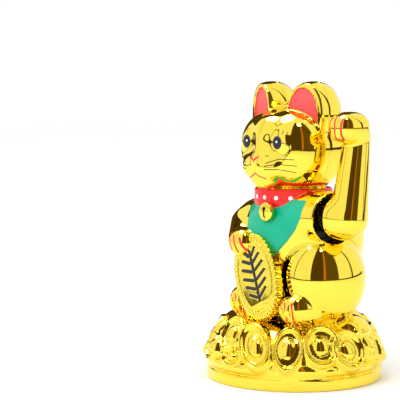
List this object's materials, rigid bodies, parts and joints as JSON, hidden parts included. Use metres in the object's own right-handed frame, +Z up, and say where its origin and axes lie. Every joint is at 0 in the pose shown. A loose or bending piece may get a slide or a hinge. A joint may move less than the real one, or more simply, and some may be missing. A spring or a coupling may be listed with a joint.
{
  "type": "beckoning cat figurine",
  "caption": "Gold-plated seated beckoning cat on a coin mound, with a raised left arm that swings on a pendulum driven by a coil, and a hinged cell lid underneath.",
  "frame": {"origin": "centre of the round underside, on the surface that the figurine stands on", "axes": "+Z up, -Y the way the cat faces, +X the cat's left, where the raised arm is"},
  "size_m": [0.0871, 0.0816, 0.1356],
  "materials": {
    "gold_plating": "polished",
    "base_plastic": "satin",
    "cell_wrap": "gloss",
    "spring_steel": "polished",
    "contact_steel": "satin",
    "red_insulation": "satin",
    "black_insulation": "satin",
    "tower_plastic": "matte",
    "nylon": "satin",
    "board_laminate": "satin",
    "copper_wire": "satin",
    "black_resin": "matte",
    "axle_steel": "polished",
    "magnet": "satin",
    "screw_steel": "satin"
  },
  "bodies": {
    "housing": {"front_shell": "gold_plating", "rear_shell": "gold_plating", "base_plate": "base_plastic", "battery_cell": "cell_wrap", "battery_spring": "spring_steel", "negative_contact": "contact_steel", "positive_contact": "contact_steel", "lead_red": "red_insulation", "lead_black": "black_insulation", "pivot_tower": "tower_plastic", "axle_bush_1": "nylon", "axle_bush_2": "nylon", "circuit_board": "board_laminate", "coil_bobbin": "nylon", "drive_coil": "copper_wire", "transistor": "black_resin", "capacitor": "black_resin", "base_screw_1": "screw_steel", "base_screw_2": "screw_steel", "base_screw_3": "screw_steel", "tower_screw_1": "screw_steel", "tower_screw_2": "screw_steel", "board_screw_1": "screw_steel", "board_screw_2": "screw_steel"},
    "arm": {"arm_outer_half": "gold_plating", "arm_inner_half": "gold_plating", "axle": "axle_steel", "axle_clip": "axle_steel", "pendulum_lever": "nylon", "pendulum_magnet": "magnet", "counterweight": "axle_steel"},
    "door": {"battery_door": "base_plastic"}
  },
  "joints": [
    {"name": "arm_swing", "type": "hinge", "parent": "housing", "child": "arm", "pos_m": [0.001, -0.003, 0.076], "axis": [1, 0, 0], "range_deg": [-12, 12]},
    {"name": "battery_door_hinge", "type": "hinge", "parent": "housing", "child": "door", "pos_m": [-0.02795, 0.01065, 0], "axis": [0, 1, 0], "range_deg": [0, 75]}
  ]
}
